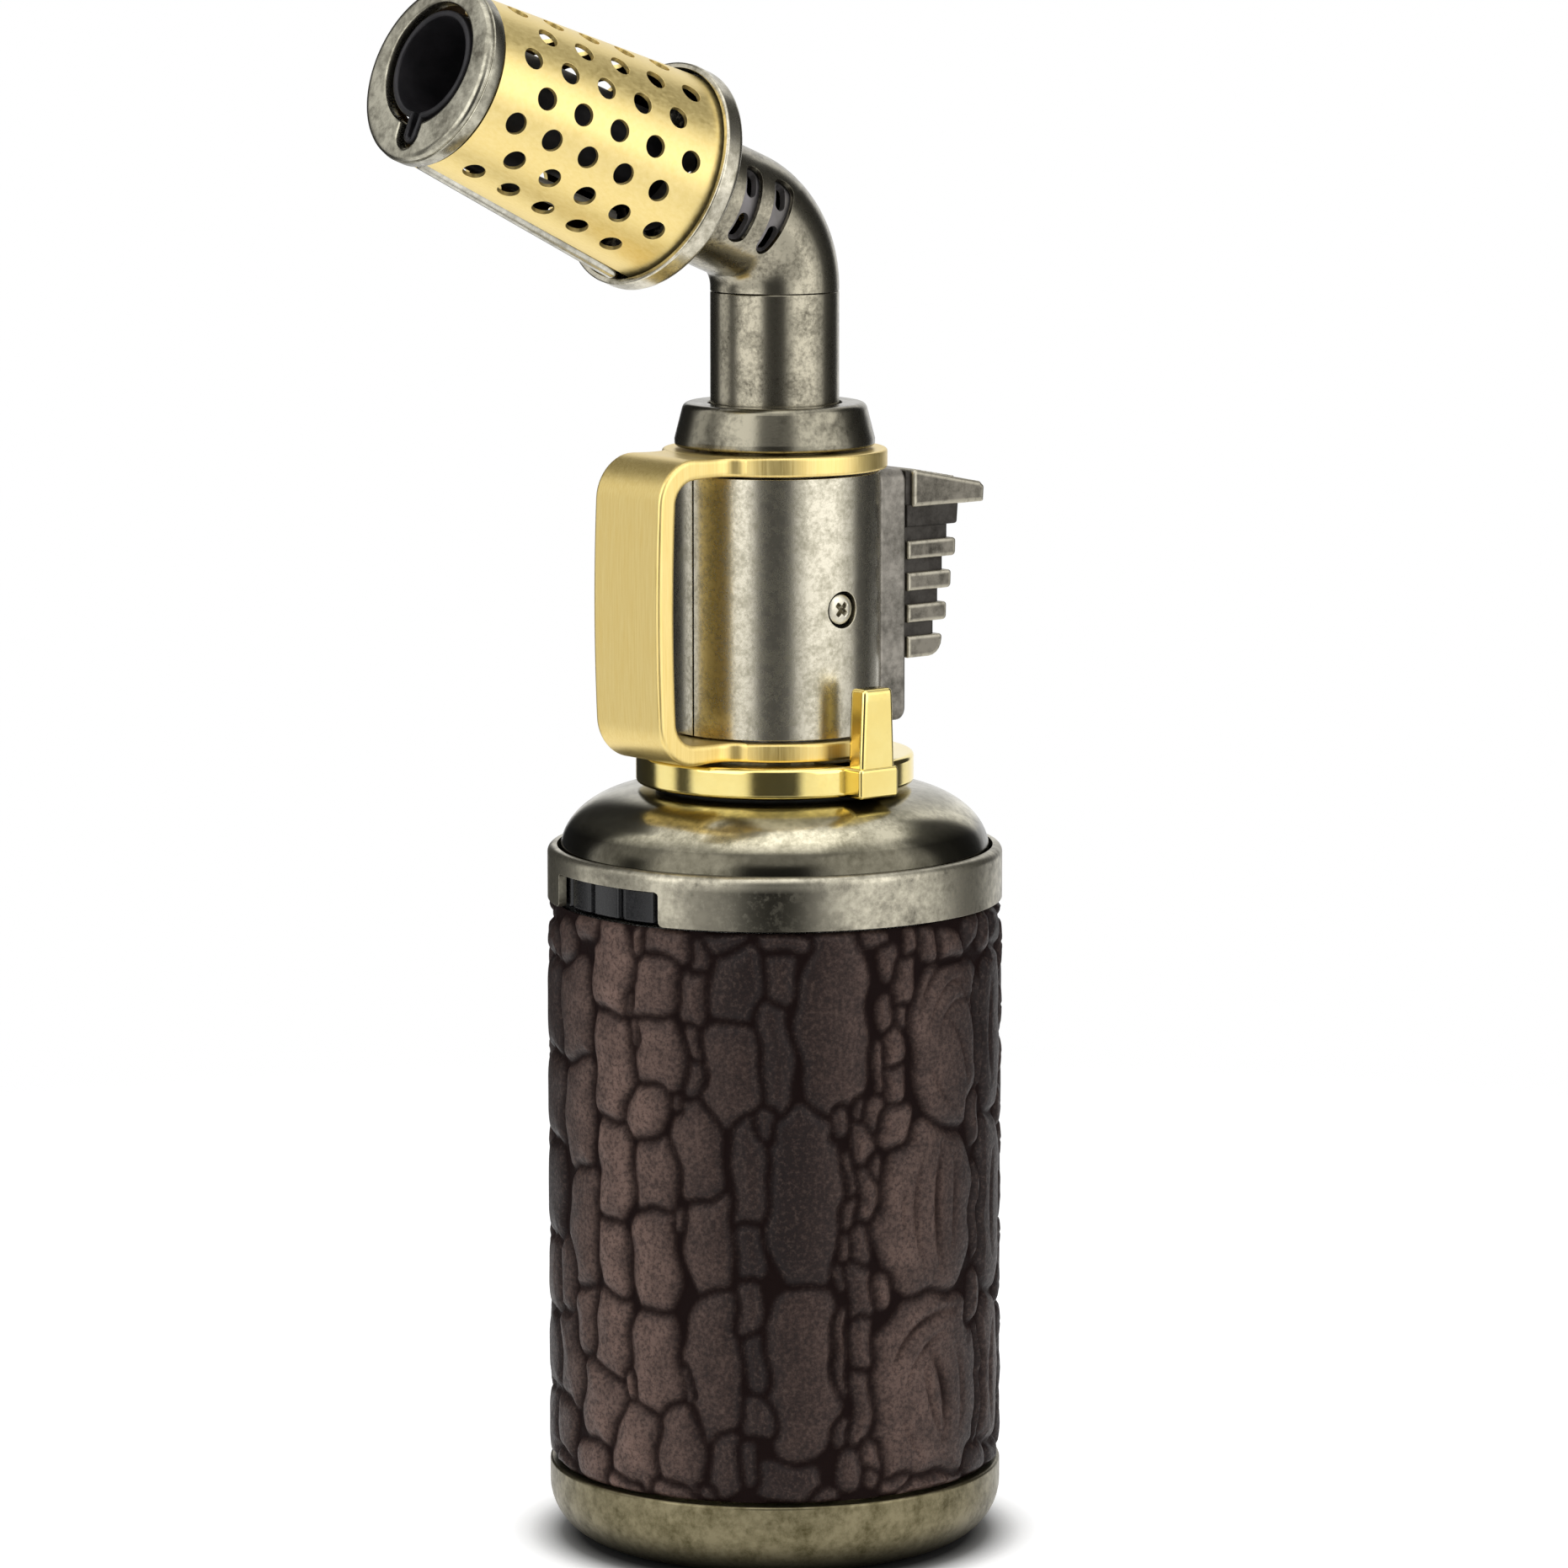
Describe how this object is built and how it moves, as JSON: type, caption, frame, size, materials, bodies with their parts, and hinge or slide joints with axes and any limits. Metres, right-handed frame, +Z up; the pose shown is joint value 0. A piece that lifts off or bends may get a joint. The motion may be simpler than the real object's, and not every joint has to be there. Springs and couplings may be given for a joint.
{
  "type": "butane torch lighter",
  "caption": "Refillable table torch lighter: leather-wrapped body, metal shoulder, finger guard, sliding igniter and an angled burner head in a perforated shield.",
  "frame": {"origin": "centre of the flat foot that the lighter stands on", "axes": "+Z up along the body's axis, +X towards the side that the nozzle points to, +Y towards the side with the flame lever"},
  "size_m": [0.0759, 0.05, 0.1711],
  "materials": {
    "antique_silver": "zinc plated in silver, with dark patina in its low places",
    "satin_brass": "brushed satin",
    "polished_gold": "polished",
    "brown_leather": "embossed in large scales",
    "black_plastic": "matt black",
    "white_plastic": "natural white",
    "clear_grey_plastic": "translucent grey",
    "black_rubber": "matt",
    "bright_steel": "bright",
    "zinc_casting": "raw casting",
    "machined_brass": "turned",
    "heat_black_steel": "blackened by heat",
    "white_ceramic": "matt"
  },
  "bodies": {
    "torch": {"air_tube": "heat_black_steel", "base_cup": "antique_silver", "base_screw_1": "antique_silver", "base_screw_2": "antique_silver", "base_screw_3": "antique_silver", "body_sleeve": "bright_steel", "burner_tube": "heat_black_steel", "chassis": "zinc_casting", "collar": "antique_silver", "elbow": "antique_silver", "electrode": "bright_steel", "electrode_insulator": "white_ceramic", "flame_diffuser": "white_ceramic", "friction_washer": "black_rubber", "front_bezel": "antique_silver", "fuel_tank": "clear_grey_plastic", "gas_jet": "machined_brass", "gas_tube": "black_rubber", "guard_bracket": "satin_brass", "housing_left": "antique_silver", "housing_right": "antique_silver", "housing_screw_left": "antique_silver", "housing_screw_right": "antique_silver", "ignition_wire": "black_rubber", "leather_wrap": "brown_leather", "lever_pin": "bright_steel", "neck_tube": "antique_silver", "outlet_valve_body": "machined_brass", "perforated_shield": "satin_brass", "piezo_body": "black_plastic", "piezo_spring": "bright_steel", "rear_cup": "antique_silver", "refill_valve_body": "machined_brass", "refill_valve_spring": "bright_steel", "shoulder_band": "antique_silver", "shoulder_dome": "antique_silver", "slide_plate": "antique_silver", "tank_lid": "clear_grey_plastic", "tank_seal": "black_rubber", "wire_rail": "bright_steel"},
    "thumb_slide": {"thumb_slide": "antique_silver", "slide_carriage": "black_plastic", "piezo_plunger": "white_plastic"},
    "valve_lever": {"valve_lever": "black_plastic"},
    "outlet_valve_stem": {"outlet_valve_stem": "machined_brass"},
    "flame_ring": {"flame_ring": "polished_gold", "adjuster_wheel": "white_plastic"},
    "lock_ring": {"lock_ring": "black_plastic"},
    "refill_valve_stem": {"refill_valve_stem": "machined_brass"}
  },
  "joints": [
    {"name": "thumb_slide_travel", "type": "slide", "parent": "torch", "child": "thumb_slide", "axis": [0, 0, -1], "range_m": [0, 0.005], "stiffness_N_per_m": 1500, "springref_m": -0.002, "deforming": ["piezo_spring"]},
    {"name": "valve_lever_tilt", "type": "hinge", "parent": "torch", "child": "valve_lever", "pos_m": [-0.0042, 0, 0.0925], "axis": [0, -1, 0], "range_deg": [0, 12]},
    {"name": "outlet_valve_lift", "type": "slide", "parent": "torch", "child": "outlet_valve_stem", "axis": [0, 0, 1], "range_m": [0, 0.00088]},
    {"name": "flame_ring_turn", "type": "hinge", "parent": "torch", "child": "flame_ring", "pos_m": [0, 0, 0.0855], "axis": [0, 0, 1], "range_deg": [-30, 30]},
    {"name": "lock_ring_turn", "type": "hinge", "parent": "torch", "child": "lock_ring", "pos_m": [0, 0, 0.0729], "axis": [0, 0, -1], "range_deg": [0, 20]},
    {"name": "refill_valve_press", "type": "slide", "parent": "torch", "child": "refill_valve_stem", "axis": [0, 0, 1], "range_m": [0, 0.0015], "stiffness_N_per_m": 500, "springref_m": -0.001, "deforming": ["refill_valve_spring"]}
  ],
  "couplings": [
    {"joint": "valve_lever_tilt", "follows": "thumb_slide_travel", "rad_per_m": 41.88},
    {"joint": "outlet_valve_lift", "follows": "thumb_slide_travel", "ratio": 0.1756}
  ]
}
